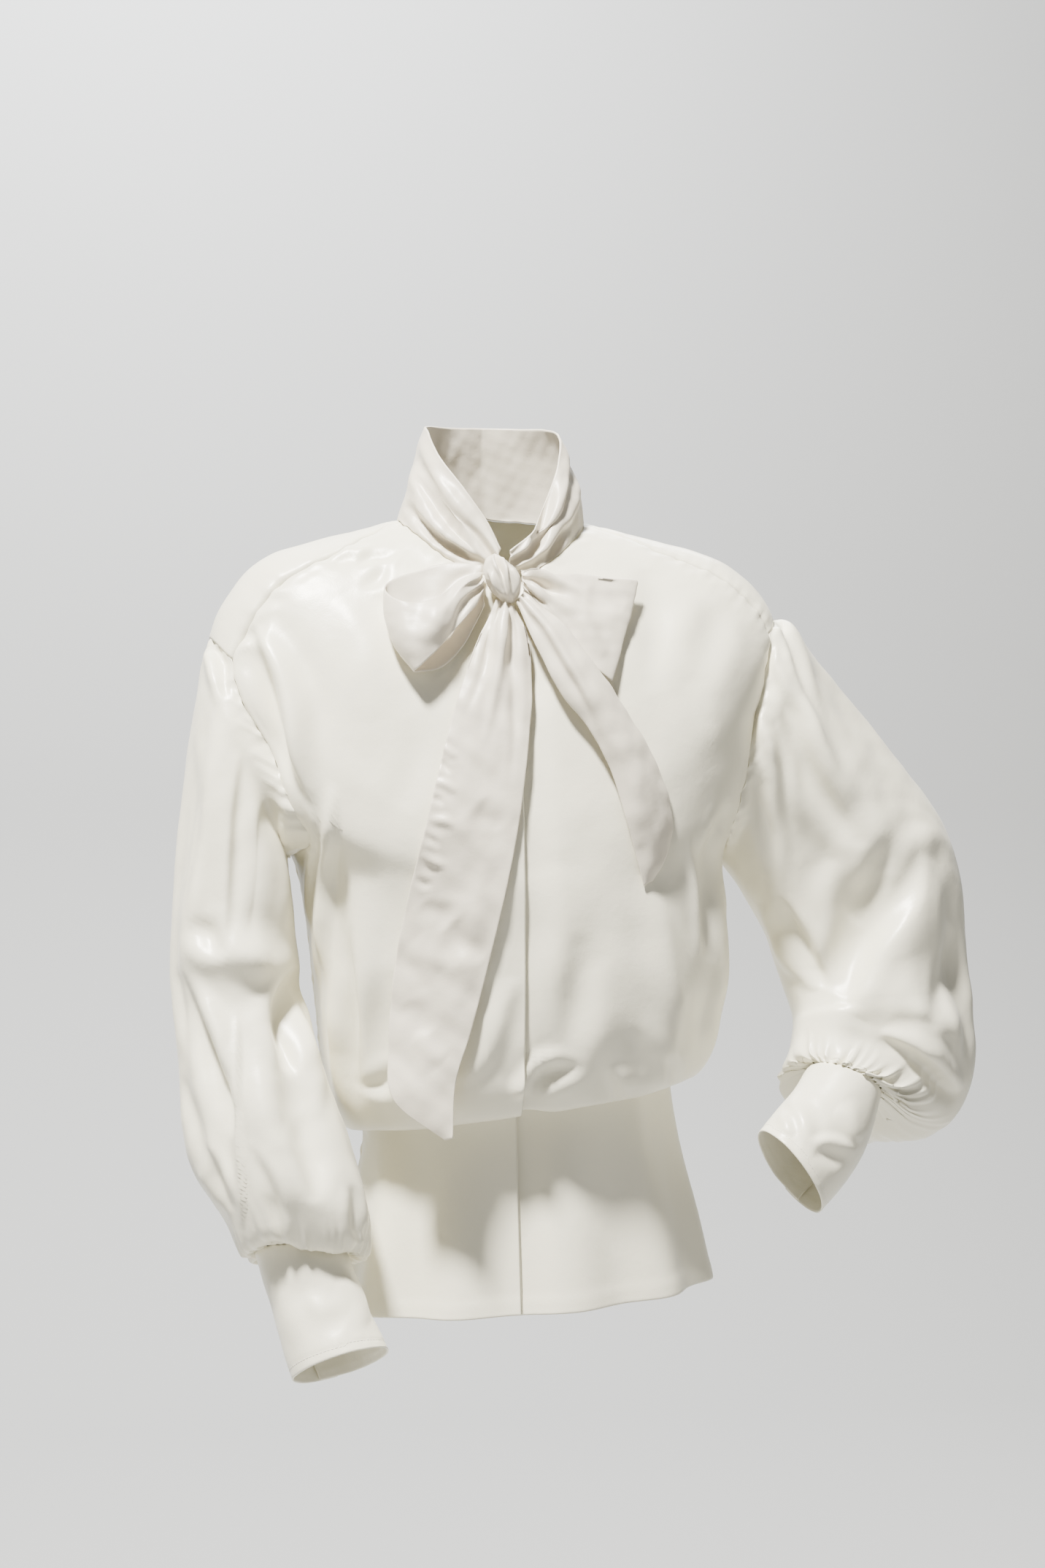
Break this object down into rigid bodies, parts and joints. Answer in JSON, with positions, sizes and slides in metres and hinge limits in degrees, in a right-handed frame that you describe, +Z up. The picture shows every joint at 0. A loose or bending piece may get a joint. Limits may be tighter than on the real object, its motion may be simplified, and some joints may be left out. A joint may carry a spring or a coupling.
{
  "type": "blouse",
  "caption": "A long-sleeved blouse held in its worn form: soft neck band tied in a bow, hidden button front, full sleeves gathered into deep cuffs, waist tucked in with a soft overhang.",
  "frame": {"origin": "middle of the neck opening, level with the tops of the shoulder seams: the mount by which a wearer, bust or hanger holds the blouse up", "axes": "+X to the wearer's left, -Y the front, +Z up"},
  "size_m": [0.6098, 0.2629, 0.6903],
  "materials": {
    "body_cloth": "soft ivory crepe with a satin sheen",
    "tie_cloth": "the same crepe, folded"
  },
  "bodies": {
    "root": {"back": "body_cloth", "front_right": "body_cloth", "front_left": "body_cloth", "placket": "body_cloth", "sleeve_right": "body_cloth", "sleeve_left": "body_cloth", "cuff_right": "body_cloth", "cuff_left": "body_cloth", "neck_band": "tie_cloth", "bow_knot": "tie_cloth", "bow_loop_right": "tie_cloth", "bow_loop_left": "tie_cloth", "tie_tail_long": "tie_cloth", "tie_tail_short": "tie_cloth"}
  },
  "joints": []
}
